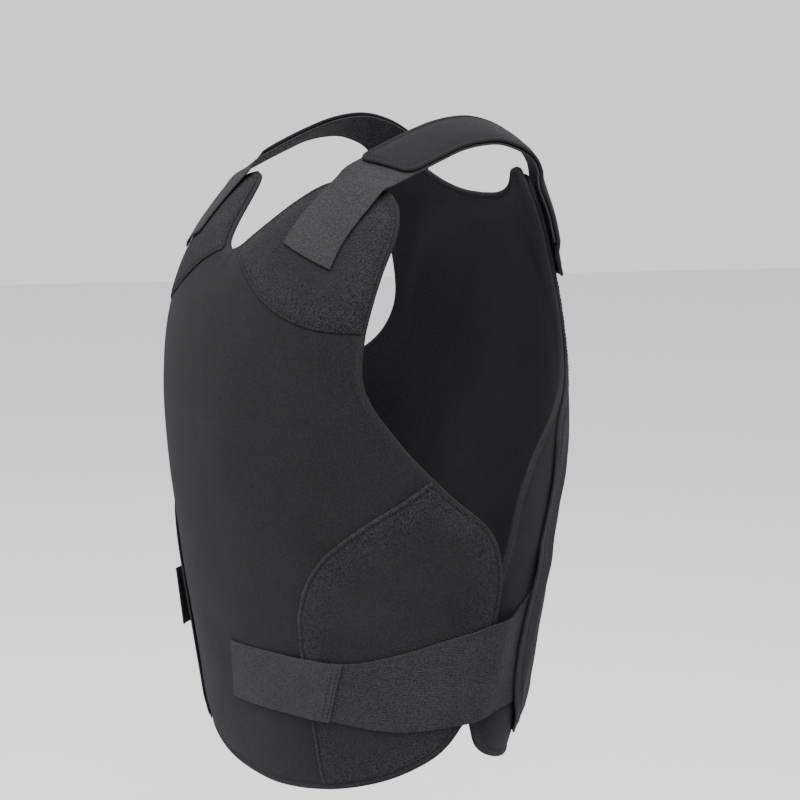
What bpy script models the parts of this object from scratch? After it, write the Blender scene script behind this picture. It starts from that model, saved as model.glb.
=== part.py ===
"""Soft body armour vest, in the form it takes when it is worn.

Two padded panels are cut to an outline and laid round a torso-shaped form.  Loop
patches, hook straps, shoulder pads and an outer back cover lie on them in layers.

Metres in the finished meshes, +Z up, the front faces -Y, the wearer's left is +X.
The origin lies midway between the undersides of the two shoulder straps, at the
top of the shoulders.

Every cloth piece is first a flat pattern: "across" is the distance from the centre
line, measured round the body, and "height" is Z.  Both are in millimetres, and
negative heights lie below the shoulders.
"""

import bmesh
import bpy
import numpy as np

MM = 0.001

# Body form, in millimetres
BODY_CENTRE_Y = -33.0
SQUARENESS = 2.25
BODY_STATIONS = (
    # height, half width, front depth, back depth
    (40, 108, 6, 22),
    (30, 113, 8, 42),
    (0, 126, 22, 72),
    (-30, 140, 51, 90),
    (-60, 150, 83, 104),
    (-95, 158, 113, 114),
    (-140, 171, 130, 122),
    (-200, 175, 136, 126),
    (-260, 173, 131, 120),
    (-330, 168, 120, 105),
    (-400, 163, 106, 91),
    (-480, 157, 90, 78),
    (-540, 153, 80, 72),
)
TURN_STEPS = 361
FINE_EDGE = 200

# Thicknesses and gaps, in millimetres
PANEL_THICKNESS = 9.0
PANEL_EDGE_ROUNDING = 2.6
LOOP_THICKNESS = 1.2
COVER_THICKNESS = 2.5
STRAP_THICKNESS = 1.6
PAD_THICKNESS = 2.5
LAYER_GAP = 0.6
SEAM_GAP = 0.4
# Extra room for the shoulder straps and pads, whose bends are built from flat facets
STRAP_FRONT_EASE = 0.1
STRAP_BACK_EASE = 0.4
PAD_EASE = 0.2
PATCH_INSET = 2.5

# Stand-off of each layer from the body form
ON_PANEL = PANEL_THICKNESS + LAYER_GAP
ON_LOOP = ON_PANEL + LOOP_THICKNESS + LAYER_GAP + STRAP_FRONT_EASE
ON_COVER = ON_PANEL + COVER_THICKNESS + LAYER_GAP
ON_STRAP = STRAP_THICKNESS + LAYER_GAP

# The front wings rise here to lie over the back wings
WING_LIFT = PANEL_THICKNESS + LAYER_GAP
WING_LIFT_START = 150.0
WING_LIFT_END = 225.0

# Front panel outline, half of it: across, height
NOTCH_HEIGHT = -92
NOTCH_HALF_WIDTH = 10
FRONT_HEM_HEIGHT = -498
FRONT_NECKLINE = ((NOTCH_HALF_WIDTH, NOTCH_HEIGHT), (24, -76), (37, -59), (53, -46), (76, -40))
FRONT_EAR_TOP = ((76, -40), (104, -43), (129, -49))
FRONT_SIDE = (
    (204, -424), (225, -388), (240, -345), (248, -310), (245, -285), (217, -254),
    (183, -213), (160, -179), (156, -146), (153, -105), (146, -74), (129, -49),
)
FRONT_HEM = ((0, FRONT_HEM_HEIGHT), (66, -489), (120, -478), (162, -462), (188, -444), (204, -424))

# Loop patches on the front panel
YOKE_SEAM = ((12, -95), (40, -110), (68, -126), (92, -136), (118, -142), (150, -144))
YOKE_SEAM_ON_SIDE = -144
SIDE_PATCH_ACROSS = 96
SIDE_PATCH_CORNER_HEIGHT = -374
SIDE_PATCH_TOP = ((96, -374), (99, -350), (107, -329), (122, -307), (148, -284), (182, -259), (206, -242))

# Back panel outline, half of it, measured from the back's centre line
BACK_NECK_HEIGHT = -50
BACK_HEM_HEIGHT = -466
BACK_NECKLINE = ((0, BACK_NECK_HEIGHT), (28, -48), (50, -41), (68, -29))
BACK_EAR_TOP = ((68, -29), (98, -27), (127, -32))
BACK_SIDE = (
    (202, -430), (209, -400), (210, -350), (207, -305), (207, -262), (196, -228),
    (170, -200), (142, -177), (126, -150), (121, -115), (122, -70), (127, -32),
)
BACK_HEM = ((0, BACK_HEM_HEIGHT), (70, -464), (128, -460), (169, -456), (190, -447), (202, -430))

# Outer cover of the back panel
COVER_HEM = ((0, -455), (80, -453), (149, -445))
COVER_SIDE = (
    (149, -445), (164, -424), (174, -402), (178, -374), (175, -320), (173, -262),
    (168, -208), (144, -186), (122, -156), (117, -115), (118, -72), (123, -38),
)
COVER_NECKLINE = ((0, -54), (28, -52), (50, -45), (71, -35))
COVER_EAR_TOP = ((71, -35), (98, -34), (123, -38))
# The cover rises over the sewn ends of the side straps, between these places
COVER_RISE = STRAP_THICKNESS + 2 * LAYER_GAP
COVER_RISE_ACROSS = (106.0, 138.0)
COVER_RISE_BELOW = (-446.0, -428.0)
COVER_RISE_ABOVE = (-318.0, -292.0)

# Side straps, a row for each section from the hook end to the sewn end:
# upper edge across, upper edge height, lower edge across, lower edge height
LEFT_TAB = (
    (10, -387, 0, -435),
    (70, -383, 58, -431),
    (131, -380, 114, -427),
)
LEFT_BAND = (
    (131, -380, 114, -427),
    (170, -369, 160, -429),
    (203, -356, 196, -424),
    (238, -348, 226, -420),
    (260, -345, 242, -418),
    (282, -334, 256, -417),
    (302, -328, 270, -416),
)
RIGHT_TAB = (
    (138, -364, 134, -412),
    (193, -366, 188, -414),
    (246, -366, 234, -414),
)
RIGHT_BAND = (
    (246, -366, 234, -414),
    (264, -354, 246, -416),
    (282, -336, 256, -417),
    (302, -328, 270, -416),
)
PATCH_STEP = (64.0, 86.0)
STRAP_DROP = (244.0, 270.0)
STRAP_DROP_HEIGHT = -345.0
STRAP_DROP_SLANT = 0.38
RIGHT_END_FLARE = 10.0
RIGHT_END_FLARE_ENDS = 176.0

# Shoulder straps and pads.  The run starts and ends on the panels and crosses the
# shoulder in the air between these stations.
STRAP_WIDTH = 50.0
PAD_WIDTH = 49.0
STRAP_FRONT_STATIONS = (
    # across, height, drop from the centre line to the edge by the arm
    (93, -96, 7),
    (92, -80, 6),
    (92.5, -66, 5),
    (93.5, -55, 4),
    (94, -46, 3),
)
STRAP_OVER_STATIONS = (
    # across, depth, height, slope down towards the arm in degrees, depth gained at the arm
    (96, -89, -34.0, 12, 6.5),
    (97, -76, -27.2, 17, 3.5),
    (98, -61, -20, 19, 2),
    (98, -42, -11.5, 20, 1),
    (98, -24, -4.5, 20, 0),
    (98, -8, -1, 20, 0),
    (98, 6, 0, 20, 0),
    (98, 20, -2.5, 20, -1.5),
    (98, 33, -7.5, 18, -4),
    (98, 44, -15, 13, -8),
    (98, 51.5, -25, 8, -11.5),
)
STRAP_BACK_STATIONS = ((98, -42), (98, -62), (98, -90), (98, -125), (98, -160))
STRAP_LENGTH = 292.0
PAD_START = 91.0
PAD_END = 318.0
PAD_SKEW = 12.0
PAD_CORNER = 9.0
PAD_CORNER_ROWS = (0.0, 0.12, 0.45)
STRAP_COLUMNS = 4

# Colours, from the photograph: red, green, blue, roughness
SHELL_CLOTH = (0.036, 0.037, 0.043, 0.85)
LOOP_PILE = (0.031, 0.032, 0.037, 1.0)
HOOK_TAPE = (0.068, 0.070, 0.077, 0.75)
ELASTIC_BAND = (0.046, 0.047, 0.051, 0.8)
PAD_CLOTH = (0.040, 0.040, 0.046, 0.8)


def smooth_step(low, high, value):
    """0 below low, 1 above high, and an S-curve between them."""
    share = np.clip((np.asarray(value, float) - low) / (high - low), 0.0, 1.0)
    return share * share * (3.0 - 2.0 * share)


def smooth_rows(wanted, keys, rows):
    """Read the columns of a table at the wanted keys, on a smooth curve through its rows."""
    keys = np.asarray(keys, float)
    rows = np.asarray(rows, float)
    slope = np.gradient(rows, keys, axis=0)
    wanted = np.clip(np.asarray(wanted, float), keys[0], keys[-1])
    index = np.clip(np.searchsorted(keys, wanted) - 1, 0, len(keys) - 2)
    step = (keys[index + 1] - keys[index])[..., None]
    share = ((wanted - keys[index]) / step[..., 0])[..., None]
    rise = 3 * share ** 2 - 2 * share ** 3
    start = (share ** 3 - 2 * share ** 2 + share) * step * slope[index]
    end = (share ** 3 - share ** 2) * step * slope[index + 1]
    return rows[index] * (1 - rise) + rows[index + 1] * rise + start + end


def body_section(turn, height):
    """Point of the body form at a turn from the front centre line (radians) and a height."""
    stations = np.asarray(BODY_STATIONS, float)[::-1]
    half, front, back = np.moveaxis(smooth_rows(height, stations[:, 0], stations[:, 1:]), -1, 0)
    sine, cosine = np.sin(turn), np.cos(turn)
    power = 2.0 / SQUARENESS
    across = half * np.sign(sine) * np.abs(sine) ** power
    depth = -np.where(cosine > 0, front, back) * np.sign(cosine) * np.abs(cosine) ** power
    return np.stack([across, depth + BODY_CENTRE_Y, height + 0 * across], -1)


def turn_at(across, height, on_back):
    """Turn at which the distance round the body from the centre line equals across."""
    turns = np.linspace(0, np.pi, TURN_STEPS)
    if on_back:
        turns = np.pi - turns
    ring = body_section(turns[None], height.ravel()[:, None])
    steps = np.linalg.norm(np.diff(ring, axis=1), axis=2)
    distance = np.concatenate([np.zeros((len(steps), 1)), np.cumsum(steps, axis=1)], axis=1)
    found = [np.interp(one, run, turns) for one, run in zip(across.ravel(), distance)]
    return np.reshape(found, across.shape)


def on_body(across, height, stand_off, on_back=False):
    """Places on the wearer's left of the body form, stand_off out from its surface."""
    across, height = np.broadcast_arrays(np.asarray(across, float), np.asarray(height, float))
    turn = turn_at(across, height, on_back)
    small_turn, small_height = 0.001, 0.5
    round_body = body_section(turn + small_turn, height) - body_section(turn - small_turn, height)
    up_body = body_section(turn, height + small_height) - body_section(turn, height - small_height)
    outward = np.cross(round_body, up_body)
    outward /= np.linalg.norm(outward, axis=-1, keepdims=True)
    return body_section(turn, height) + outward * np.asarray(stand_off, float)[..., None]


def fair_curve(points, count, inset=0.0):
    """Evenly spaced places on a smooth curve through the points, moved inset to its left."""
    points = np.asarray(points, float)
    chords = np.linalg.norm(np.diff(points, axis=0), axis=1)
    keys = np.concatenate([[0.0], np.cumsum(chords)])
    fine = smooth_rows(np.linspace(0, keys[-1], 201), keys, points)
    length = np.concatenate([[0.0], np.cumsum(np.linalg.norm(np.diff(fine, axis=0), axis=1))])
    if inset:
        along = np.gradient(fine, axis=0)
        along /= np.linalg.norm(along, axis=1, keepdims=True)
        fine = fine + inset * np.stack([-along[:, 1], along[:, 0]], -1)
    even = np.linspace(0, length[-1], count + 1)
    return np.stack([np.interp(even, length, fine[:, axis]) for axis in (0, 1)], -1)


def joined(*runs):
    """One run of places from several that meet end to end."""
    return np.concatenate([runs[0]] + [run[1:] for run in runs[1:]])


def four_sided(bottom, top, inner, outer):
    """Grid of pattern places blended between its four edge curves."""
    low, high = bottom[None], top[None]
    left, right = inner[:, None], outer[:, None]
    share = np.linspace(0, 1, bottom.shape[0])[None, :, None]
    rise = np.linspace(0, 1, inner.shape[0])[:, None, None]
    corners = ((1 - rise) * ((1 - share) * bottom[0] + share * bottom[-1])
               + rise * ((1 - share) * top[0] + share * top[-1]))
    return (1 - share) * left + share * right + (1 - rise) * low + rise * high - corners


def between(runs_low, runs_high, rows):
    """Grid of straight rows from one edge of a strip to the other."""
    share = np.linspace(0, 1, rows + 1)[:, None, None]
    return runs_low[None] * (1 - share) + runs_high[None] * share


def make_material(name, finish):
    """A plain Principled finish."""
    material = bpy.data.materials.new(name)
    material.use_nodes = True
    shader = material.node_tree.nodes["Principled BSDF"]
    shader.inputs["Base Color"].default_value = (*finish[:3], 1.0)
    shader.inputs["Roughness"].default_value = finish[3]
    shader.inputs["Metallic"].default_value = 0.0
    material.diffuse_color = (*finish[:3], 1.0)
    return material


def make_sheet(name, places, thickness, finish, side=1, flip=False):
    """A cloth piece: a grid sheet moved to its places and given its thickness outwards."""
    rows, columns = places.shape[0] - 1, places.shape[1] - 1
    shape = bmesh.new()
    bmesh.ops.create_grid(shape, x_segments=columns, y_segments=rows, size=1.0)
    for vertex in shape.verts:
        column = round((vertex.co.x + 1) / 2 * columns)
        row = round((vertex.co.y + 1) / 2 * rows)
        x, y, z = places[row, column] * MM
        vertex.co = (side * x, y, z)
    if flip != (side < 0):
        bmesh.ops.reverse_faces(shape, faces=shape.faces)
    mesh = bpy.data.meshes.new(name)
    shape.to_mesh(mesh)
    shape.free()
    mesh.materials.append(finish)
    piece = bpy.data.objects.new(name, mesh)
    collection.objects.link(piece)
    solidify = piece.modifiers.new("Cloth thickness", "SOLIDIFY")
    solidify.thickness = thickness * MM
    solidify.offset = 1.0
    return piece


def mirror_whole(piece):
    """Make a half sheet whole across the centre line, before it gets its thickness."""
    mirror = piece.modifiers.new("Other half", "MIRROR")
    mirror.use_axis = (True, False, False)
    mirror.merge_threshold = 0.00005
    piece.modifiers.move(len(piece.modifiers) - 1, 0)


def round_edges(piece):
    """Round the rim of a padded piece."""
    bevel = piece.modifiers.new("Rounded rim", "BEVEL")
    bevel.width = PANEL_EDGE_ROUNDING * MM
    bevel.segments = 2
    bevel.limit_method = "ANGLE"
    bevel.angle_limit = np.radians(50)
    for polygon in piece.data.polygons:
        polygon.use_smooth = True


def wing_lift(across):
    """Rise of the front wing over the back wing beneath it."""
    return WING_LIFT * smooth_step(WING_LIFT_START, WING_LIFT_END, across)


def make_front_panel():
    """The padded front: its left half is laid on the form, and mirrored."""
    columns, low_rows, notch_rows, neck_rows = 13, 12, 1, 5
    inner = joined(
        fair_curve(((0, FRONT_HEM_HEIGHT), (0, NOTCH_HEIGHT)), low_rows),
        fair_curve(((0, NOTCH_HEIGHT), (NOTCH_HALF_WIDTH, NOTCH_HEIGHT)), notch_rows),
        fair_curve(FRONT_NECKLINE, neck_rows),
    )
    rows = low_rows + notch_rows + neck_rows
    pattern = four_sided(fair_curve(FRONT_HEM, columns), fair_curve(FRONT_EAR_TOP, columns),
                         inner, fair_curve(FRONT_SIDE, rows))
    places = on_body(pattern[..., 0], pattern[..., 1], wing_lift(pattern[..., 0]))
    panel = make_sheet("front_panel", places, PANEL_THICKNESS, shell_cloth)
    mirror_whole(panel)
    round_edges(panel)


def make_back_panel():
    """The padded back, made in the same way and measured from the back's centre line."""
    columns, low_rows = 12, 16
    inner = fair_curve(((0, BACK_HEM_HEIGHT), (0, BACK_NECK_HEIGHT)), low_rows)
    neckline = fair_curve(BACK_NECKLINE, columns // 2)
    top = joined(neckline, fair_curve(BACK_EAR_TOP, columns - columns // 2))
    pattern = four_sided(fair_curve(BACK_HEM, columns), top, inner, fair_curve(BACK_SIDE, low_rows))
    places = on_body(pattern[..., 0], pattern[..., 1], 0 * pattern[..., 0], on_back=True)
    panel = make_sheet("back_panel", places, PANEL_THICKNESS, shell_cloth, flip=True)
    mirror_whole(panel)
    round_edges(panel)


def cover_rise(across, height):
    """Rise of the outer cover over the sewn ends of the side straps."""
    return (COVER_RISE * smooth_step(*COVER_RISE_ACROSS, across)
            * smooth_step(*COVER_RISE_BELOW, height) * (1 - smooth_step(*COVER_RISE_ABOVE, height)))


def make_back_cover():
    """The outer cloth of the back, which bridges the sewn ends of the side straps."""
    columns, rows = 12, 16
    inner = fair_curve(((0, COVER_HEM[0][1]), (0, COVER_NECKLINE[0][1])), rows)
    neckline = fair_curve(COVER_NECKLINE, columns // 2)
    top = joined(neckline, fair_curve(COVER_EAR_TOP, columns - columns // 2))
    pattern = four_sided(fair_curve(COVER_HEM, columns), top, inner, fair_curve(COVER_SIDE, rows))
    stand_off = ON_PANEL + cover_rise(pattern[..., 0], pattern[..., 1])
    places = on_body(pattern[..., 0], pattern[..., 1], stand_off, on_back=True)
    cover = make_sheet("back_cover", places, COVER_THICKNESS, shell_cloth, flip=True)
    mirror_whole(cover)


def thinned(run, count):
    """The run of places at count + 1 even steps, with both its ends."""
    steps = np.concatenate([[0.0], np.cumsum(np.linalg.norm(np.diff(run, axis=0), axis=1))])
    even = np.linspace(0, steps[-1], count + 1)
    return np.stack([np.interp(even, steps, run[:, axis]) for axis in (0, 1)], -1)


def side_between(low, high, rows):
    """The stretch of the front panel's side edge between two heights, moved in by the inset."""
    edge = fair_curve(FRONT_SIDE, FINE_EDGE, inset=PATCH_INSET)
    stretch = edge[(edge[:, 1] >= low) & (edge[:, 1] <= high)]
    return thinned(stretch, rows)


def make_shoulder_loop(name, side):
    """The loop yoke on the front's shoulder, from the seam up to the ear's top."""
    columns, rows = 9, 7
    neckline = fair_curve(FRONT_NECKLINE, rows, inset=-PATCH_INSET)
    neckline[0] = YOKE_SEAM[0]
    outer = side_between(YOKE_SEAM_ON_SIDE, FRONT_EAR_TOP[-1][1] - PATCH_INSET, rows)
    top = fair_curve((neckline[-1], outer[-1]), columns)
    bottom = fair_curve(YOKE_SEAM[:-1] + (tuple(outer[0]),), columns)
    pattern = four_sided(bottom, top, neckline, outer)
    places = on_body(pattern[..., 0], pattern[..., 1], ON_PANEL + 0 * pattern[..., 0])
    make_sheet(name, places, LOOP_THICKNESS, loop_pile, side)


def make_side_loop(name, side):
    """The loop patch on the front's side, with a round upper front corner."""
    columns, rows = 12, 10
    hem = fair_curve(FRONT_HEM, FINE_EDGE, inset=PATCH_INSET)
    hem = hem[hem[:, 0] >= SIDE_PATCH_ACROSS]
    outer = side_between(hem[-1, 1], SIDE_PATCH_TOP[-1][1], rows)
    hem[-1] = outer[0]
    bottom = thinned(hem, columns)
    inner = fair_curve((bottom[0], (SIDE_PATCH_ACROSS, SIDE_PATCH_CORNER_HEIGHT)), rows)
    top = fair_curve(SIDE_PATCH_TOP[:-1] + (tuple(outer[-1]),), columns)
    pattern = four_sided(bottom, top, inner, outer)
    places = on_body(pattern[..., 0], pattern[..., 1], ON_PANEL + wing_lift(pattern[..., 0]))
    make_sheet(name, places, LOOP_THICKNESS, loop_pile, side)


def strap_stand_off(across, height, flare):
    """Stand-off of a side strap: over the patch and the front wing, then down to the back wing."""
    slanted = across - STRAP_DROP_SLANT * (height - STRAP_DROP_HEIGHT)
    drop = smooth_step(*STRAP_DROP, slanted)
    over_front = ON_PANEL + (ON_LOOP - ON_PANEL) * smooth_step(*PATCH_STEP, across) + wing_lift(across)
    ends = 1 - smooth_step(RIGHT_TAB[0][0], RIGHT_END_FLARE_ENDS, across)
    return over_front * (1 - drop) + ON_PANEL * drop + flare * ends


def make_side_strap(name, table, side, finish, columns, shorten=0.0, flare=0.0):
    """A strip between its upper and lower edge, each a curve through the table's rows."""
    rows = 4
    table = np.asarray(table, float)
    upper = fair_curve(table[:, 0:2], columns)
    lower = fair_curve(table[:, 2:4], columns)
    upper[0, 0] += shorten
    lower[0, 0] += shorten
    pattern = between(lower, upper, rows)
    stand_off = strap_stand_off(pattern[..., 0], pattern[..., 1], flare)
    places = on_body(pattern[..., 0], pattern[..., 1], stand_off)
    make_sheet(name, places, STRAP_THICKNESS, finish, side)


def shoulder_stations():
    """Underside of the shoulder strap: a row of places across it at each station."""
    share = np.linspace(-1, 1, STRAP_COLUMNS + 1)
    half, ease = STRAP_WIDTH / 2, ON_COVER + STRAP_BACK_EASE
    rows = []
    for across, height, drop in STRAP_FRONT_STATIONS:
        rows.append(on_body(across + half * share, height - drop * share, ON_LOOP + 0 * share))
    for across, depth, height, slope, swing in STRAP_OVER_STATIONS:
        reach = np.array([np.cos(np.radians(slope)) * half, swing, -np.sin(np.radians(slope)) * half])
        rows.append(np.array([across, depth, height], float) + share[:, None] * reach)
    for across, height in STRAP_BACK_STATIONS:
        rows.append(on_body(across + half * share, height, ease + 0 * share, on_back=True))
    return np.asarray(rows)


def strap_surface(run, share):
    """Place on the strap's underside: run along it, share across it from -1 to 1."""
    stations = shoulder_stations()
    centres = stations[:, STRAP_COLUMNS // 2]
    keys = np.concatenate([[0.0], np.cumsum(np.linalg.norm(np.diff(centres, axis=0), axis=1))])
    rows = smooth_rows(run.ravel(), keys, stations.reshape(len(keys), -1))
    rows = rows.reshape(run.size, STRAP_COLUMNS + 1, 3)
    position = np.clip((share.ravel() + 1) / 2, 0, 1) * STRAP_COLUMNS
    column = np.minimum(position.astype(int), STRAP_COLUMNS - 1)
    part = (position - column)[:, None]
    each = np.arange(run.size)
    return (rows[each, column] * (1 - part) + rows[each, column + 1] * part).reshape(*run.shape, 3)


def shoulder_places(run, share, stand_off):
    """Places of a strip that lies stand_off above the strap's underside."""
    small_run, small_share = 0.5, 0.05
    ahead = strap_surface(run + small_run, share) - strap_surface(run - small_run, share)
    reach = strap_surface(run, share + small_share) - strap_surface(run, share - small_share)
    outward = np.cross(reach, ahead)
    outward /= np.linalg.norm(outward, axis=-1, keepdims=True)
    return strap_surface(run, share) + outward * stand_off


def make_shoulder_strap(name, side):
    """The hook strap from the front yoke over the shoulder and down the back."""
    rows = 36
    share, run = np.meshgrid(np.linspace(-1, 1, STRAP_COLUMNS + 1), np.linspace(0, STRAP_LENGTH, rows + 1))
    places = shoulder_places(run, share, 0.0)
    make_sheet(name, places, STRAP_THICKNESS, hook_tape, side)


def make_shoulder_pad(name, side):
    """A bound pad over the strap: its front end is skewed and has rounded corners."""
    rows = 22
    corner = np.array(PAD_CORNER_ROWS) * PAD_CORNER
    distance = np.concatenate([corner, np.linspace(PAD_CORNER, PAD_END - PAD_START, rows)])
    share, run = np.meshgrid(np.linspace(-1, 1, STRAP_COLUMNS + 1), distance)
    pull = np.clip(PAD_CORNER - run, 0, None)
    trim = PAD_CORNER - np.sqrt(PAD_CORNER ** 2 - pull ** 2)
    width_share = (PAD_WIDTH - 2 * trim) / STRAP_WIDTH
    share = share * width_share
    skewed = PAD_START + run + PAD_SKEW * share / 2 * (1 - run / run.max())
    places = shoulder_places(skewed, share, ON_STRAP + PAD_EASE)
    make_sheet(name, places, PAD_THICKNESS, pad_cloth, side)


for old in list(bpy.data.objects):
    bpy.data.objects.remove(old, do_unlink=True)

collection = bpy.data.collections.new("bulletproof_vest")
bpy.context.scene.collection.children.link(collection)

shell_cloth = make_material("shell_cloth", SHELL_CLOTH)
loop_pile = make_material("loop_pile", LOOP_PILE)
hook_tape = make_material("hook_tape", HOOK_TAPE)
elastic_band = make_material("elastic_band", ELASTIC_BAND)
pad_cloth = make_material("pad_cloth", PAD_CLOTH)

make_front_panel()
make_back_panel()
make_back_cover()
for end, side in (("left", 1), ("right", -1)):
    make_shoulder_loop("shoulder_loop_" + end, side)
    make_side_loop("side_loop_" + end, side)
    make_shoulder_strap("shoulder_strap_" + end, side)
    make_shoulder_pad("shoulder_pad_" + end, side)

make_side_strap("side_tab_left", LEFT_TAB, 1, hook_tape, 9)
make_side_strap("side_strap_left", LEFT_BAND, 1, elastic_band, 14, shorten=SEAM_GAP)
make_side_strap("side_tab_right", RIGHT_TAB, -1, hook_tape, 9, flare=RIGHT_END_FLARE)
make_side_strap("side_strap_right", RIGHT_BAND, -1, elastic_band, 6, shorten=SEAM_GAP)
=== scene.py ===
# %% [markdown]
# # A soft body armour vest, dressed
#
# The vest is two padded panels that hang from hook straps over the shoulders and are
# pulled together by elastic straps at the sides.  The CAD frame holds each cloth part
# as a plain solid.  This lesson cuts every part again as a flat pattern, gives it the
# thickness, seams and stitches of sewn cloth, and lays it on the same body form.
#
# All patterns are in millimetres: "across" is measured round the body from the centre
# line and "height" is up.  Only the finished meshes are in metres.

import bpy
import numpy as np
from mathutils import Matrix


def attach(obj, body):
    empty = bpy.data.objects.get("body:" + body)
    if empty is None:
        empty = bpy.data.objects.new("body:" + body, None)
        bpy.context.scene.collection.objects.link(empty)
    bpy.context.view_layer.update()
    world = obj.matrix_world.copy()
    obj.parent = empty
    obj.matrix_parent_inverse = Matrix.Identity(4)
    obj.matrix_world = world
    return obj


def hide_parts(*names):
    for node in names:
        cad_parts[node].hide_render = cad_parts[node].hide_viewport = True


MM = 0.001

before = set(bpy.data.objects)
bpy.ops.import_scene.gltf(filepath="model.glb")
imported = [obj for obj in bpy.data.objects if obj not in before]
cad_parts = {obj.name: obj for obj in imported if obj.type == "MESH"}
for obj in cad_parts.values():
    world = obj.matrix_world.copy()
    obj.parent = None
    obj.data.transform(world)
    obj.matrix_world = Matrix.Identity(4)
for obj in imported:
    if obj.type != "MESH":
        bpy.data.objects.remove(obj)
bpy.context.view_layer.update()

# %% [markdown]
# ## The body form
#
# Cloth parts lie on the body that wears them, so a plain body form comes first.  A level
# section is a superellipse whose half width and depths change with height.  The same
# table shaped the CAD solids.  Walking round each section in equal steps gives a chart:
# a net of places from which any pattern point can be read by interpolation.  A chart
# costs one pass, where solving for every point would cost thousands.

# %% Sizes of the body form
BODY_CENTRE_Y = -33.0
SQUARENESS = 2.25
TURN_STEPS = 720
BODY_STATIONS = np.array([
    # height, half width, front depth, back depth
    (-540, 153, 80, 72), (-480, 157, 90, 78), (-400, 163, 106, 91), (-330, 168, 120, 105),
    (-260, 173, 131, 120), (-200, 175, 136, 126), (-140, 171, 130, 122), (-95, 158, 113, 114),
    (-60, 150, 83, 104), (-30, 140, 51, 90), (0, 126, 22, 72), (30, 113, 8, 42), (40, 108, 6, 22),
], float)
CHART_STEP = 2.0
CHART_REACH = 360.0
CHART_HEIGHTS = np.arange(-540, 40.1, CHART_STEP)


def unit(vectors):
    """Vectors of length 1 in the same directions."""
    return vectors / np.maximum(np.linalg.norm(vectors, axis=-1, keepdims=True), 1e-9)


def run_so_far(points, axis=0):
    """How far along a run each of its points lies."""
    steps = np.linalg.norm(np.diff(points, axis=axis), axis=-1)
    start = np.zeros_like(steps[..., :1])
    return np.concatenate([start, np.cumsum(steps, axis=axis)], axis=-1)


print("chart heights:", len(CHART_HEIGHTS), "levels,", CHART_STEP, "mm apart")


# %% Smooth steps and smooth rows
def smooth_step(low, high, value):
    """0 below low, 1 above high, and an S-curve between them."""
    share = np.clip((np.asarray(value, float) - low) / (high - low), 0.0, 1.0)
    return share * share * (3.0 - 2.0 * share)


def smooth_rows(wanted, keys, rows):
    """Columns of a table at the wanted keys, on a smooth curve through its rows."""
    keys, rows = np.asarray(keys, float), np.asarray(rows, float)
    slope = np.gradient(rows, keys, axis=0)
    wanted = np.clip(np.asarray(wanted, float), keys[0], keys[-1])
    index = np.clip(np.searchsorted(keys, wanted) - 1, 0, len(keys) - 2)
    step = (keys[index + 1] - keys[index])[..., None]
    share = ((wanted - keys[index]) / step[..., 0])[..., None]
    rise = 3 * share ** 2 - 2 * share ** 3
    start = (share ** 3 - 2 * share ** 2 + share) * step * slope[index]
    end = (share ** 3 - share ** 2) * step * slope[index + 1]
    return rows[index] * (1 - rise) + rows[index + 1] * rise + start + end


print("half way up a smooth step:", float(smooth_step(0, 10, 5)))


# %% A chart of the body form
def body_section(turn, height):
    """Superellipse: each axis is the sine or cosine of the turn to the power 2 / squareness."""
    sizes = smooth_rows(height, BODY_STATIONS[:, 0], BODY_STATIONS[:, 1:])
    half, front, back = np.moveaxis(sizes, -1, 0)
    sine, cosine = np.sin(turn), np.cos(turn)
    power = 2.0 / SQUARENESS
    across = half * np.sign(sine) * np.abs(sine) ** power
    depth = -np.where(cosine > 0, front, back) * np.sign(cosine) * np.abs(cosine) ** power
    return np.stack([across, depth + BODY_CENTRE_Y, height + 0 * across], -1)


def body_chart(on_back):
    """Places and outward directions at even steps across and up, from one centre line."""
    turns = np.linspace(0, np.pi, TURN_STEPS + 1)
    if on_back:
        turns = np.pi - turns
    height = CHART_HEIGHTS[:, None]
    distance = run_so_far(body_section(turns[None], height), axis=1)
    across = np.arange(0, CHART_REACH + 0.1, CHART_STEP)
    turn = np.array([np.interp(across, run, turns) for run in distance])
    round_body = body_section(turn + 0.001, height) - body_section(turn - 0.001, height)
    up_body = body_section(turn, height + 0.5) - body_section(turn, height - 0.5)
    return body_section(turn, height), unit(np.cross(round_body, up_body))


charts = {False: body_chart(False), True: body_chart(True)}


# %% Places on the body form
def on_body(across, height, stand_off, on_back=False):
    """Places stand_off out from the form: chart place plus outward direction times stand_off."""
    given = (np.asarray(value, float) for value in (across, height, stand_off))
    across, height, stand_off = np.broadcast_arrays(*given)
    places, outward = charts[on_back]
    column = np.clip(np.abs(across) / CHART_STEP, 0, places.shape[1] - 1.001)
    row = np.clip((height - CHART_HEIGHTS[0]) / CHART_STEP, 0, places.shape[0] - 1.001)
    c, r = column.astype(int), row.astype(int)
    u, v = (column - c)[..., None], (row - r)[..., None]

    def read(chart):
        return ((chart[r, c] * (1 - u) + chart[r, c + 1] * u) * (1 - v)
                + (chart[r + 1, c] * (1 - u) + chart[r + 1, c + 1] * u) * v)

    found = read(places) + read(outward) * stand_off[..., None]
    return found * np.where(across < 0, -1.0, 1.0)[..., None] ** np.array([1, 0, 0])


def on_back(across, height, stand_off):
    """The same, measured from the back's centre line."""
    return on_body(across, height, stand_off, on_back=True)


print("chest at 200 mm below the shoulders, half width:",
      round(float(on_body(np.arange(360), -200.0, 0.0)[:, 0].max()), 1), "mm")

# %% [markdown]
# ## Cutting flat patterns
#
# A cutter draws edges and fills them.  Four fair curves bound each pattern, and a
# blended net (a Coons patch) fills it.  The net's lines crowd together near the edges,
# because the rim, the binding and the stitch groove lie there, and the middle of a
# panel needs only wide steps.

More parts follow.
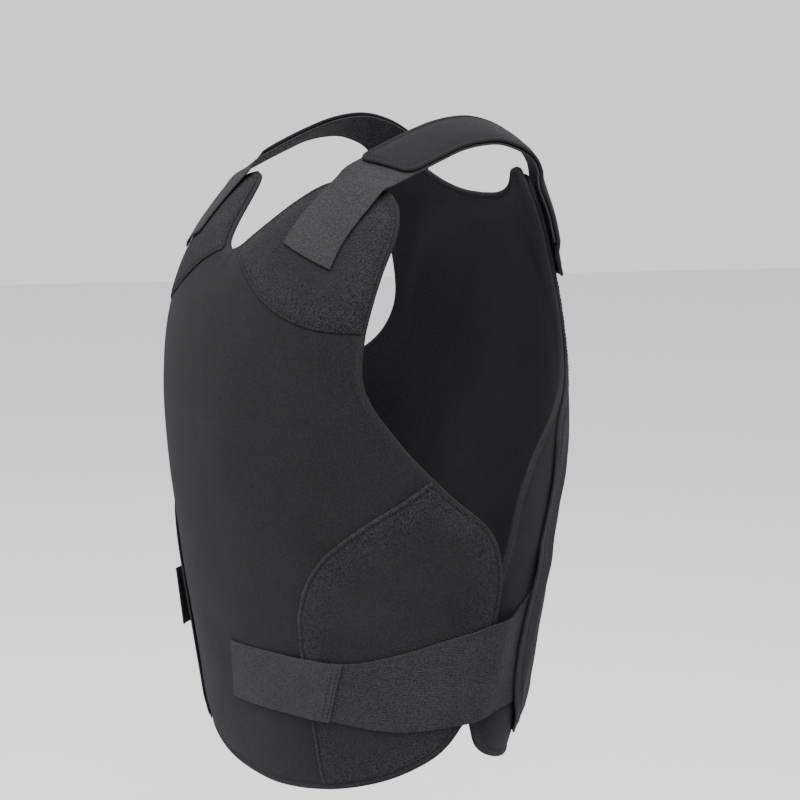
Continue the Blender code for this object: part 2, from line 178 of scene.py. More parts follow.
# %% Curves
def along(run, shares):
    """Places on a run of points at shares of its length."""
    run = np.asarray(run, float)
    length = run_so_far(run)
    wanted = np.asarray(shares) * length[-1]
    return np.stack([np.interp(wanted, length, column) for column in run.T], -1)


def leftward(run):
    """Directions to the left of a run: its own direction after a quarter turn."""
    direction = unit(np.gradient(run, axis=0))
    return np.stack([-direction[:, 1], direction[:, 0]], -1)


def fair_curve(points, shares=np.linspace(0, 1, 201), inset=0.0):
    """A smooth curve through the points, moved inset to its left and read at the shares."""
    points = np.asarray(points, float)
    keys = run_so_far(points)
    fine = smooth_rows(np.linspace(0, keys[-1], 401), keys, points)
    if inset:
        fine = fine + inset * leftward(fine)
    return along(fine, shares)


def joined(*runs):
    """One run from several that meet end to end."""
    return np.concatenate([runs[0]] + [run[1:] for run in runs[1:]])


print("a fair curve through three points has", len(fair_curve(((0, 0), (10, 4), (20, 0)))), "places")


# %% Nets
RIM_STEPS = np.array([0, 0.8, 1.8, 3.0, 4.2, 5.2, 6.4, 9.0, 13.5, 19.0])
FINE_RIM_STEPS = np.array([0, 0.3, 0.8, 1.5, 2.3, 3.1, 4.0, 5.0, 6.5])


def crowded(length, step, near=RIM_STEPS, start=True, end=True):
    """Shares of a run, close together near its ends and even in between."""
    low = near if start else near[:1]
    high = length - near[::-1] if end else np.array([length])
    count = max(2, int(round((high[0] - low[-1]) / step)))
    return np.concatenate([low, np.linspace(low[-1], high[0], count + 1)[1:-1], high]) / length


def four_sided(bottom, top, inner, outer, columns, rows):
    """Coons patch: the two ruled nets between opposite edges, less the net of the four corners."""
    bottom, top = along(bottom, columns), along(top, columns)
    inner, outer = along(inner, rows), along(outer, rows)
    share, rise = columns[None, :, None], rows[:, None, None]
    corners = ((1 - rise) * ((1 - share) * bottom[0] + share * bottom[-1])
               + rise * ((1 - share) * top[0] + share * top[-1]))
    return ((1 - share) * inner[:, None] + share * outer[:, None]
            + (1 - rise) * bottom[None] + rise * top[None] - corners)


def ring_of(net):
    """The outline of a net, anticlockwise from its lower inner corner."""
    return np.concatenate([net[0], net[1:, -1], net[-1, -2::-1], net[-2::-1, 0]])


def evenly(run, step=1.0):
    """The run read again at even steps."""
    run = np.asarray(run, float)
    length = np.linalg.norm(np.diff(run, axis=0), axis=1).sum()
    return along(run, np.linspace(0, 1, max(2, int(length / step)) + 1))


print("shares of a 40 mm run:", np.round(crowded(40, 5.0, FINE_RIM_STEPS), 2).tolist())


# %% Distances from an outline
AT_ONCE = 2000  # net points compared in one step, to spare memory
ON_THE_RIM = 0.08  # closer than this counts as on the outline


def rim_distance(net, outline):
    """Distance of each net point from the outline, and how far along the outline that is.
    The nearest corner is found first, then the nearest place on the two lines that meet there."""
    flat = net.reshape(-1, 2)
    groups = (flat[start:start + AT_ONCE, None] for start in range(0, len(flat), AT_ONCE))
    near = np.concatenate([((group - outline[None]) ** 2).sum(-1).argmin(1) for group in groups])
    run = run_so_far(outline)
    far = np.full(len(flat), np.inf)
    for first in (near - 1, near):
        first = np.clip(first, 0, len(outline) - 2)
        line = outline[first + 1] - outline[first]
        share = ((flat - outline[first]) * line).sum(1) / np.maximum((line ** 2).sum(1), 1e-12)
        gap = flat - outline[first] - np.clip(share, 0, 1)[:, None] * line
        far = np.minimum(far, np.linalg.norm(gap, axis=1))
    far[far < ON_THE_RIM] = 0.0
    return far.reshape(net.shape[:-1]), run[near].reshape(net.shape[:-1])


def rim_at(across, height, outline):
    """The same at any places on the body, left or right of the centre line."""
    net = np.stack(np.broadcast_arrays(np.abs(np.asarray(across, float)), height), -1)
    return rim_distance(net, outline)


def soften(places, corners):
    """Round sharp corners of a pattern.  Each corner is (across, height, pull across, pull height,
    reach): places within reach are pulled inwards, by the square of how near they are."""
    places = np.array(places, float)
    for *corner, pull_across, pull_height, reach in corners:
        near = np.clip(1 - np.linalg.norm(places - corner, axis=-1) / reach, 0, 1) ** 2
        places = places + near[..., None] * np.array([pull_across, pull_height])
    return places


def inset_line(outline, inset):
    """A line that keeps inset from an anticlockwise outline: each place moves to its left, and
    those that come too near another stretch of the outline are dropped."""
    moved = outline + inset * leftward(outline)
    return moved[rim_distance(moved, outline)[0] > inset - 0.2]


# %% Relief
def ripples(across, height, seed, shortest, longest, waves=14):
    """A gentle random relief of about -1 to 1: a sum of sine waves in random directions."""
    random = np.random.default_rng(seed)
    angle, phase = random.uniform(0, 2 * np.pi, (2, waves))
    wave = 2 * np.pi / random.uniform(shortest, longest, waves)
    across, height = np.asarray(across, float)[..., None], np.asarray(height, float)[..., None]
    along_wave = across * np.cos(angle) + height * np.sin(angle)
    return np.sin(wave * along_wave + phase).sum(-1) / np.sqrt(waves)


def bell(distance, centre, width):
    """1 at the centre, falling off on both sides as e to the minus square of the distance in widths."""
    return np.exp(-((distance - centre) / width) ** 2)


print("relief at one place:", round(float(ripples(0, 0, 1, 10, 20)), 2))

# %% [markdown]
# ## Sewing a pattern into a piece
#
# Each piece is a closed form with an outer and an inner face.  Both are the same net,
# half a thickness either side of a middle surface.  The thickness is nothing at the
# rim, so the two faces weld there into a rounded edge.  One function then serves the
# padded panels, the patches and the straps, and every edge is closed.

# %% Welding nets into one mesh
made = {}
pattern_of = {}


def build(name, faces, material, subdivide=0):
    """Weld nets into one mesh.  Each face is (places, pattern, side, rim): the net's places in
    millimetres, its flat pattern, 1 or -1 for a net that faces out or in, and its distance
    from the rim, which the finishes read as an attribute."""
    places = np.concatenate([net.reshape(-1, 3) for net, _, _, _ in faces])
    pattern = np.concatenate([flat.reshape(-1, 2) for _, flat, _, _ in faces])
    rim = np.concatenate([np.broadcast_to(far, net.shape[:-1]).ravel() for net, _, _, far in faces])
    corners, start = [], 0
    for net, _, side, _ in faces:
        rows, columns = net.shape[:2]
        index = start + np.arange(rows * columns).reshape(rows, columns)
        quads = np.stack([index[:-1, :-1], index[:-1, 1:], index[1:, 1:], index[1:, :-1]], -1)
        corners.append(quads.reshape(-1, 4)[:, ::side])
        start += rows * columns
    hundredths = np.round(places * 100).astype(np.int64)
    _, first, again = np.unique(hundredths, axis=0, return_index=True, return_inverse=True)
    corners = again.reshape(-1)[np.concatenate(corners)]
    polygons = [tuple(dict.fromkeys(quad)) for quad in corners.tolist()]
    polygons = [polygon for polygon in polygons if len(polygon) > 2]
    mesh = bpy.data.meshes.new(name)
    mesh.from_pydata((places[first] * MM).tolist(), [], polygons)
    uv = mesh.uv_layers.new(name="pattern")
    corner_vertex = np.empty(len(mesh.loops), int)
    mesh.loops.foreach_get("vertex_index", corner_vertex)
    uv.data.foreach_set("uv", (pattern[first][corner_vertex] * MM).astype(np.float32).ravel())
    rim_values = mesh.attributes.new("rim", "FLOAT", "POINT").data
    rim_values.foreach_set("value", rim[first].astype(np.float32))
    pattern_of[name] = pattern[first]
    return finish_piece(name, mesh, material, subdivide)


# %% Finishing a piece
def finish_piece(name, mesh, material, subdivide=0):
    """Shade smoothly, paint, and let the piece ride on the one rigid body."""
    mesh.polygons.foreach_set("use_smooth", np.ones(len(mesh.polygons), bool))
    mesh.materials.append(material)
    mesh.update()
    piece = bpy.data.objects.new(name, mesh)
    bpy.context.scene.collection.objects.link(piece)
    if subdivide:
        surface = piece.modifiers.new("Soft surface", "SUBSURF")
        surface.levels = surface.render_levels = subdivide
    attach(piece, "root")
    made[name] = piece
    return piece


# %% Outer and inner faces
def two_faces(net, place, middle, half, side, rim):
    """Outer and inner face of a net: place(across, height, middle + or - half)."""
    mirrored = net * (side, 1)
    outer = place(mirrored[..., 0], mirrored[..., 1], middle + half)
    inner = place(mirrored[..., 0], mirrored[..., 1], middle - half)
    return [(outer, mirrored, side, rim), (inner, mirrored, -side, rim)]


def cut_size(places, halves=1):
    """Flat width, length and area, in metres, of cloth that lies in these places without
    stretching: its longest row, its longest column, and half the cross product of each
    cell's diagonals, summed."""
    width = np.linalg.norm(np.diff(places, axis=1), axis=2).sum(1).max() * halves
    length = np.linalg.norm(np.diff(places, axis=0), axis=2).sum(0).max()
    diagonals = places[1:, 1:] - places[:-1, :-1], places[1:, :-1] - places[:-1, 1:]
    area = np.linalg.norm(np.cross(*diagonals), axis=2).sum() / 2 * halves
    return (float(width * MM), float(length * MM)), float(area * MM * MM)


def rounded_edge(distance, radius, half):
    """Half thickness: a quarter ellipse from nothing at the rim to half at the radius."""
    return half * np.sqrt(1 - (1 - np.clip(distance / radius, 0, 1)) ** 2)


print("a 2 mm rounded edge at 0, 1 and 2 mm:",
      np.round(rounded_edge(np.array([0.0, 1, 2]), 2.0, 1.0), 2).tolist())

# %% [markdown]
# ## Stitches
#
# A lockstitch shows as a row of short thread lengths whose ends dip into the cloth.
# One small capsule is worked out once and set down along a line at even steps.  The
# meshes stay light: 26 corners a stitch.

# %% One stitch
STITCH_SIDES = 6
STITCH_RINGS = 4
STITCH_BEND = 3.2  # dip of a stitch's ends, in radii
STITCH_RISE = 0.35  # rise of its centre line over the cloth, in radii


def stitch_form():
    """A capsule from -0.5 to 0.5 along its length: its radius is the root of a sine, and it
    bends down towards both ends.  Columns: along, sideways and up."""
    around = np.arange(STITCH_SIDES) * 2 * np.pi / STITCH_SIDES
    angle = np.linspace(0, np.pi, STITCH_RINGS + 2)[1:-1, None]
    radius = np.sin(angle) ** 0.5
    length = -np.cos(angle) * 0.5 + 0 * around
    height = radius * np.sin(around) - STITCH_BEND * length ** 2
    rings = np.stack([length, radius * np.cos(around), height], -1)
    dip = -STITCH_BEND / 4
    points = np.concatenate([rings.reshape(-1, 3), [(-0.5, 0, dip), (0.5, 0, dip)]])
    index = np.arange(STITCH_SIDES * STITCH_RINGS).reshape(STITCH_RINGS, STITCH_SIDES)
    ahead = np.roll(index, -1, axis=1)
    quads = np.stack([index[:-1], ahead[:-1], ahead[1:], index[1:]], -1).reshape(-1, 4).tolist()
    start, end = len(points) - 2, len(points) - 1
    caps = [(start, b, a) for a, b in zip(index[0].tolist(), ahead[0].tolist())]
    caps += [(end, a, b) for a, b in zip(index[-1].tolist(), ahead[-1].tolist())]
    return points, [tuple(q[::-1]) for q in quads] + caps


print("corners in one stitch:", len(stitch_form()[0]))


# %% Stitches along lines
def stitch_rows(name, lines, place, height_at, side=1, pitch=3.2, length=2.5, radius=0.33):
    """Stitches along flat lines, on the stand-off height_at(across, height) of place's surface."""
    form, form_faces = stitch_form()
    points, polygons = [], []
    for line in lines:
        line_length = np.linalg.norm(np.diff(line, axis=0), axis=1).sum()
        count = max(1, int(line_length / pitch))
        reach = 0.5 * length / line_length
        middle = (np.arange(count) + 0.5) / count

        def lay(share, rise=0):
            flat = along(line, share)
            lift = height_at(flat[:, 0], flat[:, 1])
            return place(flat[:, 0] * side, flat[:, 1], lift + rise)

        start, end = lay(middle - reach), lay(middle + reach)
        outward = lay(middle, 1) - lay(middle)
        forward = unit(end - start)
        sideways = np.cross(outward, forward)
        corners = ((start + end)[:, None] / 2 + form[None, :, :1] * length * forward[:, None]
                   + form[None, :, 1:2] * radius * sideways[:, None]
                   + (form[None, :, 2:] + STITCH_RISE) * radius * outward[:, None])
        first = len(points) * len(form)
        points.extend(corners)
        polygons.extend([tuple(first + k * len(form) + corner for corner in face)
                         for k in range(count) for face in form_faces])
    mesh = bpy.data.meshes.new(name)
    mesh.from_pydata((np.concatenate(points) * MM).tolist(), [], polygons)
    return finish_piece(name, mesh, thread)


# %% [markdown]
# ## Materials
#
# Every finish is cloth, and near black.  What tells them apart is how light catches
# them: fine weave, fuzzy pile, hook tape, ribbed elastic.  Each is built from textures
# in the pattern's own flat coordinates, so threads run along the cut, and from slow
# noise for the uneven tone of worn cloth.

# %% A small language for shader nodes
WAVE_PERIOD = 2 * np.pi / 20  # a wave texture of scale 1 repeats after this length
BASE_TONE = 0.22  # with the mean wear, it puts the middle tone near the ramp's middle
WEAR = 0.45  # share of the slow noise in the tone
SHEEN_TINT = (0.9, 0.93, 1.0, 1.0)


def add(tree, kind, settings=(), **inputs):
    """A node with its settings, and its inputs linked from sockets or set to constants."""
    node = tree.nodes.new("ShaderNode" + kind)
    for key, value in dict(settings).items():
        setattr(node, key, value)
    for key, value in inputs.items():
        socket = node.inputs[int(key[1:])] if key[0] == "_" else node.inputs[key.replace("_", " ")]
        if isinstance(value, bpy.types.NodeSocket):
            tree.links.new(value, socket)
        else:
            socket.default_value = value
    return node


def maths(tree, operation, *values):
    """The result of a Math node on two or three sockets or constants."""
    inputs = {f"_{index}": value for index, value in enumerate(values)}
    return add(tree, "Math", {"operation": operation}, **inputs).outputs[0]


def noise(tree, vector, scale, detail, roughness):
    """Grey noise, about 0.3 to 0.7."""
    node = add(tree, "TexNoise", Vector=vector, Scale=scale, Detail=detail, Roughness=roughness)
    return node.outputs["Fac"]


def spread(tree, value, **limits):
    """A value mapped from one range to another and held there."""
    return add(tree, "MapRange", Value=value, **limits).outputs[0]


def ramp(tree, factor, dark, light):
    """A colour between dark at 0 and light at 1."""
    node = add(tree, "ValToRGB", Fac=factor)
    for element, colour in zip(node.color_ramp.elements, (dark, light)):
        element.color = (*colour, 1.0)
    return node.outputs["Color"]


# %% One cloth finish
def cloth_material(name, dark, light, roughness, sheen, relief, fleck=0.35, grain=950.0, calm=1.0,
                   border=(0.0, 4.0, 6.5)):
    """A Principled cloth.  relief(tree, pattern, place) gives the height of its threads from 0
    to 1 and the depth of that relief in metres.  The tone runs from dark in the gaps between
    threads to light on their tops; fleck is the share of it that comes from random grain.
    Away from the rim the contrast falls to calm, as where pile is worn smooth, border is
    (gain, from, to in mm) and lightens the rim, and slow noise shifts the tone as handling does."""
    material = bpy.data.materials.new(name)
    material.use_nodes = True
    tree = material.node_tree
    tree.nodes.clear()
    pattern = add(tree, "UVMap", {"uv_map": "pattern"}).outputs["UV"]
    place = add(tree, "TexCoord").outputs["Object"]
    rim = add(tree, "Attribute", {"attribute_name": "rim"}).outputs["Fac"]
    height, depth = relief(tree, pattern, place)
    wear = noise(tree, place, 16.0, 4.0, 0.65)
    fuzz = noise(tree, place, grain, 2.0, 0.7)
    speck = spread(tree, fuzz, From_Min=0.36, From_Max=0.64)
    tone = add(tree, "Mix", {"data_type": "FLOAT"}, Factor=fleck, A=height, B=speck).outputs[0]
    near = spread(tree, rim, From_Min=6.0, From_Max=34.0, To_Min=1.0, To_Max=calm)
    contrast = maths(tree, "MULTIPLY", maths(tree, "SUBTRACT", tone, 0.5), near)
    worn = maths(tree, "MULTIPLY_ADD", wear, WEAR, contrast)
    gain, start, end = border
    edge = spread(tree, rim, From_Min=start, From_Max=end, To_Min=gain + BASE_TONE, To_Max=BASE_TONE)
    shade = maths(tree, "ADD", worn, edge)
    colour = ramp(tree, shade, dark, light)
    rough = spread(tree, shade, To_Min=roughness + 0.08, To_Max=roughness - 0.06)
    raised = maths(tree, "MULTIPLY_ADD", fuzz, 0.3, height)
    bump = add(tree, "Bump", Strength=0.8, Distance=depth, Height=raised).outputs["Normal"]
    shader = add(tree, "BsdfPrincipled", Base_Color=colour, Roughness=rough, Normal=bump,
                 Sheen_Weight=sheen, Sheen_Roughness=0.45, Sheen_Tint=SHEEN_TINT,
                 Specular_IOR_Level=0.07)
    add(tree, "OutputMaterial", Surface=shader.outputs["BSDF"])
    return material


# %% Weave, pile, hooks and ribs
def bands(tree, vector, period, direction, distortion=0.0):
    """Smooth ridges, one to a period in metres."""
    return add(tree, "TexWave", {"bands_direction": direction, "wave_profile": "SIN"}, Vector=vector,
               Scale=WAVE_PERIOD / period, Distortion=distortion, Detail=1.0).outputs["Fac"]


def plain_weave(period):
    """Warp and weft: the product of ridges both ways, the checked relief of fine cloth."""
    def relief(tree, pattern, place):
        warp, weft = bands(tree, pattern, period, "X", 0.8), bands(tree, pattern, period, "Y", 0.8)
        return maths(tree, "MULTIPLY", warp, weft), period * 0.35
    return relief


def loop_pile(size):
    """Fuzzy loops: cells of a Voronoi pattern stand as tufts, roughened by noise."""
    def relief(tree, pattern, place):
        shift = add(tree, "TexNoise", Vector=pattern, Scale=260.0, Detail=2.0).outputs["Color"]
        bent = add(tree, "Mix", {"data_type": "VECTOR"}, Factor=0.004, A=pattern, B=shift)
        vector = next(o for o in bent.outputs if o.type == "VECTOR")
        cells = add(tree, "TexVoronoi", Vector=vector, Scale=1 / size, Randomness=0.9).outputs["Distance"]
        tuft = spread(tree, cells, From_Min=0.1, From_Max=0.75, To_Min=1.0, To_Max=0.0)
        hair = noise(tree, pattern, 1.6 / size, 4.0, 0.75)
        fuzzy = maths(tree, "MULTIPLY", tuft, hair)
        return spread(tree, fuzzy, From_Min=0.05, From_Max=0.5), size * 0.6
    return relief


def hook_rows(size):
    """Hook tape: small hooks in rows, closer together along the tape than across it."""
    def relief(tree, pattern, place):
        warp, weft = bands(tree, pattern, size, "X", 0.4), bands(tree, pattern, size * 1.4, "Y", 0.4)
        return maths(tree, "POWER", maths(tree, "MULTIPLY", warp, weft), 1.5), size * 0.5
    return relief


def elastic_ribs(period):
    """Elastic: soft ribs along the band, crossed by the fine weft that covers the rubber."""
    def relief(tree, pattern, place):
        ribs, weft = bands(tree, pattern, period, "Y"), bands(tree, pattern, period * 0.45, "X")
        return maths(tree, "MULTIPLY_ADD", weft, 0.35, ribs), period * 0.25
    return relief


# %% The finishes
shell_cloth = cloth_material("shell_cloth", (0.0064, 0.0064, 0.0079), (0.0185, 0.0185, 0.0223), 0.85, 0.03,
                             plain_weave(0.00055), fleck=0.6, grain=900.0, calm=0.8, border=(0.22, 4.0, 6.5))
loop_cloth = cloth_material("loop_pile", (0.0026, 0.0026, 0.0034), (0.0285, 0.0285, 0.0335), 0.95, 0.02,
                            loop_pile(0.0013), fleck=0.5, grain=800.0, calm=0.35, border=(0.12, 8.0, 30.0))
hook_cloth = cloth_material("hook_tape", (0.0145, 0.0150, 0.0166), (0.0350, 0.0357, 0.0390), 0.8, 0.02,
                            hook_rows(0.0011), fleck=0.8, grain=850.0)
elastic_cloth = cloth_material("elastic_band", (0.0076, 0.0077, 0.0083), (0.0285, 0.0288, 0.0306), 0.8, 0.02,
                               elastic_ribs(0.0012), fleck=0.75, grain=850.0)
pad_shell = cloth_material("pad_cloth", (0.0062, 0.0062, 0.0076), (0.0175, 0.0175, 0.0208), 0.75, 0.04,
                           plain_weave(0.0006), fleck=0.5, grain=900.0)
welt_cloth = cloth_material("welt_cloth", (0.0060, 0.0060, 0.0075), (0.0310, 0.0310, 0.0355), 0.8, 0.03,
                            plain_weave(0.0005), fleck=0.8, grain=700.0)
thread = cloth_material("sewing_thread", (0.006, 0.006, 0.007), (0.020, 0.020, 0.024), 0.6, 0.02,
                        plain_weave(0.0004))
print("finishes:", ", ".join(material.name for material in bpy.data.materials))

# %% [markdown]
# ## Padding
#
# A soft armour panel is a flat pack in a cloth carrier.  The carrier's layers are sewn
# together round the rim, with a second row of stitches 5 mm in, and the pack swells
# inside.  So the thickness follows the distance from the outline: a rolled edge, a
# groove where the thread pulls, then a soft rise to the full 8 mm.

# %% Thickness of a padded panel
PANEL_MIDDLE = 4.6  # stand-off of a panel's middle surface
FULL_HALF = 4.1
RIM_HALF = 1.8
RIM_RADIUS = 2.4
GROOVE_AT, GROOVE_WIDTH, GROOVE_DEPTH = 5.0, 1.1, 0.75
RISE_RANGE = (5.0, 27.0)
PUCKER_AT, PUCKER_WIDTH, PUCKER_HEIGHT = 10.0, 4.5, 0.22
PUCKER_SPACING = 11.0
WING_LIFT = 9.6
WING_LIFT_RANGE = (150.0, 225.0)


def padding(distance, run):
    """Half thickness.  Rim: a quarter ellipse.  Groove: a bell-shaped dip at 5 mm.  Padding:
    an S-curve from 5 to 27 mm.  Puckers: waves along the seam that fade either side of it."""
    half = rounded_edge(distance, RIM_RADIUS, RIM_HALF)
    half = half - GROOVE_DEPTH * bell(distance, GROOVE_AT, GROOVE_WIDTH)
    half = half + (FULL_HALF - RIM_HALF) * smooth_step(*RISE_RANGE, distance) ** 0.75
    uneven_spacing = run / PUCKER_SPACING * 2 * np.pi + 2.0 * np.sin(run / 37.0)
    pucker = np.sin(uneven_spacing) * np.sin(run / 83.0 + 1.0)
    return half + PUCKER_HEIGHT * pucker * bell(distance, PUCKER_AT, PUCKER_WIDTH)


def wing_lift(across):
    """Rise of the front wing over the back wing beneath it."""
    return WING_LIFT * smooth_step(*WING_LIFT_RANGE, np.abs(across))


print("panel half thickness at 2, 5, 12 and 30 mm from the rim:",
      np.round(padding(np.array([2.0, 5, 12, 30]), np.zeros(4)), 2).tolist())

# %% [markdown]
# ## Letting the pack press the cloth out
#
# A formula makes a panel too even.  In the real one the pack pushes against cloth that
# is sewn fast round the rim, and the cloth answers with small uneven swells.  A short
# cloth simulation finds them: the rim is pinned, a light air pressure stands for the
# pack, gravity is off, and 20 frames are enough.  The movement is then held to a
# millimetre or two, and to almost nothing where patches and straps lie on the panel.
# The usual voxel remesh is left out: at 5 mm it would lose the 4 mm rim and its seam,
# while this net already has even cells and a closed form.

# %% The simulation
SWELL_FRAMES = 20
SEWN_RANGE = (6.0, 16.0)  # pinned up to the first distance from the rim, free from the second
MOVE_RANGE = (6.0, 20.0)  # the movement that is kept grows over this range
INNER_ROOM = 1.5
PACK_PRESSURE = {
    "quality": 4, "mass": 0.25, "tension_stiffness": 25, "compression_stiffness": 25,
    "bending_stiffness": 4, "air_damping": 2, "use_pressure": True,
    "uniform_pressure_force": 4.0, "vertex_group_mass": "sewn",
}


def read_all(items, field):
    """A three-part field of all corners of a mesh as one array."""
    flat = np.empty(len(items) * 3, np.float32)
    items.foreach_get(field, flat)
    return flat.reshape(-1, 3).astype(float)


def swell(piece, outline, outer_room):
    """Simulate the swelling of a panel whose rim is pinned.  Each corner then moves along its own
    normal by room * tanh(move / room), so that it nears its limit without a hard stop.
    outer_room(across, height) is the limit on the outer face, and INNER_ROOM on the inner one."""
    pattern = pattern_of[piece.name]
    distance, _ = rim_distance(np.abs(pattern) * (1, -1), outline)
    scene = bpy.context.scene
    trial = bpy.data.objects.new("trial", piece.data.copy())
    scene.collection.objects.link(trial)
    fixed = trial.vertex_groups.new(name="sewn")
    hold = 1 - smooth_step(*SEWN_RANGE, distance)
    for value in np.unique(np.round(hold, 2)):
        fixed.add(np.flatnonzero(np.abs(hold - value) < 0.006).tolist(), float(value), "REPLACE")
    cloth = trial.modifiers.new("Pack pressure", "CLOTH")
    for key, value in PACK_PRESSURE.items():
        setattr(cloth.settings, key, value)
    cloth.settings.effector_weights.gravity = 0
    cloth.point_cache.frame_start, cloth.point_cache.frame_end = 1, SWELL_FRAMES
    for frame_number in range(1, SWELL_FRAMES + 1):
        scene.frame_set(frame_number)
    pressed = trial.evaluated_get(bpy.context.evaluated_depsgraph_get())
    after = read_all(pressed.data.vertices, "co") / MM
    bpy.data.objects.remove(trial, do_unlink=True)
    scene.frame_set(1)
    before = read_all(piece.data.vertices, "co") / MM
    normal = read_all(piece.data.vertex_normals, "vector")
    move = ((after - before) * normal).sum(1)
    from_axis = before - np.array([0, BODY_CENTRE_Y, 0])
    outer = (normal[:, :2] * from_axis[:, :2]).sum(1) > 0
    room = np.where(outer, outer_room(np.abs(pattern[:, 0]), pattern[:, 1]), INNER_ROOM)
    move = room * np.tanh(move / room) * smooth_step(*MOVE_RANGE, distance)
    swelled = (before + move[:, None] * normal) * MM
    piece.data.vertices.foreach_set("co", swelled.astype(np.float32).ravel())
    piece.data.update()
    print(piece.name, "swelled by", round(float(move.min()), 2), "to", round(float(move.max()), 2), "mm")


# %% [markdown]
# ## The front panel
#
# The front is the largest piece: a V-shaped neckline, two ears for the straps, scooped
# armholes, and wings that reach round the sides.  Half of it is drawn, and the other
# half is its mirror image in plan, but the cloth's slow ripples differ, as no two sides
# of a worn vest are alike.

# %% Half a panel
SIDES = (("left", 1), ("right", -1))


def half_panel(hem, side, top, inner, size, cells, corners, notch=(), near=RIM_STEPS, flip=1):
    """Net, outline, and each net point's distance from the outline and run along it.  size is
    the net's width and height, and cells the widest steps in it.  The centre line is crowded
    only where a notch makes it an edge.  On the back flip is -1, so that its faces point out."""
    outline = soften(evenly(joined(hem, side, top[::-1], *notch)), corners)
    columns = crowded(size[0], cells[0], near, start=len(notch) > 0)
    rows = crowded(size[1], cells[1], near)
    net = soften(four_sided(hem, top, inner, side, columns, rows), corners)[:, ::flip]
    return net, outline, *rim_distance(net, outline)


# %% The front panel's pattern
NOTCH_FLOOR = (0, -92)
NOTCH = (10, -92)
FRONT_NECKLINE = (NOTCH, (24, -74.5), (37, -57), (53, -43.5), (76, -39))
FRONT_EAR_TOP = ((76, -39), (104, -42.5), (129, -49))
FRONT_SIDE = (
    (204, -424), (225, -388), (240, -345), (248, -310), (245, -285), (217, -254),
    (183, -213), (160, -179), (156, -146), (153, -105), (146, -74), (129, -49),
)
FRONT_HEM = ((0, -498.5), (32, -497.6), (66, -493), (120, -480.5), (162, -463.5), (188, -445), (204, -424))
FRONT_CORNERS = ((129, -49, -1.8, -2.7, 16),)

front_inner = joined(evenly((FRONT_HEM[0], NOTCH_FLOOR)), evenly((NOTCH_FLOOR, NOTCH)),
                     fair_curve(FRONT_NECKLINE))
front_notch = front_inner[front_inner[:, 1] > NOTCH_FLOOR[1] - 0.01][::-1]
front_net, front_outline, front_rim, front_run = half_panel(
    fair_curve(FRONT_HEM), fair_curve(FRONT_SIDE), fair_curve(FRONT_EAR_TOP), front_inner,
    (215, 430), (8.0, 7.5), FRONT_CORNERS, notch=(front_notch,))
right_steps, up_steps = np.diff(front_net, axis=1)[:-1], np.diff(front_net, axis=0)[:, :-1]
cells = right_steps[..., 0] * up_steps[..., 1] - right_steps[..., 1] * up_steps[..., 0]
print("front net", front_net.shape[:2], "smallest cell:", round(float(cells.min()), 3), "mm2")


def front_outer(across, height):
    """Stand-off of the front panel's outer face."""
    distance, run = rim_at(across, height, front_outline)
    return wing_lift(across) + PANEL_MIDDLE + padding(distance, run)


# %% The front panel
def relief_of(net, seed):
    """Slow swells of the padding, and shorter ones of the cloth over it, in millimetres."""
    return (0.55 * ripples(net[..., 0], net[..., 1], seed, 70, 160)
            + 0.12 * ripples(net[..., 0], net[..., 1], seed + 1, 14, 40))


def padded_panel(name, net, rim, run, place, lift, seed):
    """Both halves of a panel, welded at the centre line.  The relief fades towards the rim."""
    faces = []
    fade = smooth_step(6, 40, rim)
    for _, side in SIDES:
        middle = PANEL_MIDDLE + lift + 0.5 * fade * relief_of(net * (side, 1), seed)
        half = padding(rim, run) + 0.3 * fade * relief_of(net * (side, 1), seed + 5)
        faces += two_faces(net, place, middle, half, side, rim)
    return build(name, faces, shell_cloth, subdivide=1)


front_panel = padded_panel("padded_front", front_net, front_rim, front_run, on_body,
                           wing_lift(front_net[..., 0]), seed=11)
FREE_ROOM = 1.8
COVERED_ROOM = 0.25


def room_on_front(across, height):
    """How far the front's outer face may swell: less where patches and straps cover it."""
    patch = smooth_step(80, 96, across) * (1 - smooth_step(-300, -230, height))
    yoke = smooth_step(-160, -125, height)
    tab = smooth_step(-455, -440, height) * (1 - smooth_step(-375, -360, height))
    covered = np.maximum(np.maximum(patch, yoke), tab)
    return FREE_ROOM - (FREE_ROOM - COVERED_ROOM) * covered


swell(front_panel, front_outline, room_on_front)
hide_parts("front_panel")
print("padded front:", len(front_panel.data.polygons), "faces before subdivision")

# %% Stitches round the front
front_seam = inset_line(front_outline, GROOVE_AT)
for label, side in SIDES:
    stitch_rows("front_stitches_" + label, [front_seam], on_body, front_outer, side)

# %% [markdown]
# ## The back panel and its cover
#
# The back is a second padded panel.  Over it lies a plain cloth cover, which hides the
# sewn ends of the side straps.  The cover is only held along its edges, so it falls in
# soft upright folds where the body turns from the back to the side.

# %% The back panel
BACK_NECKLINE = ((0, -50), (28, -48), (50, -41), (68, -29))
BACK_EAR_TOP = ((68, -29), (98, -27), (127, -32))
BACK_SIDE = (
    (202, -430), (209, -400), (210, -350), (207, -305), (207, -262), (196, -228),
    (170, -200), (142, -177), (126, -150), (121, -115), (122, -70), (127, -32),
)
BACK_HEM = ((0, -466), (70, -465.5), (128, -464.5), (169, -460), (191, -449), (202, -430))
BACK_CORNERS = ((127, -32, -3.6, -2.7, 17),)

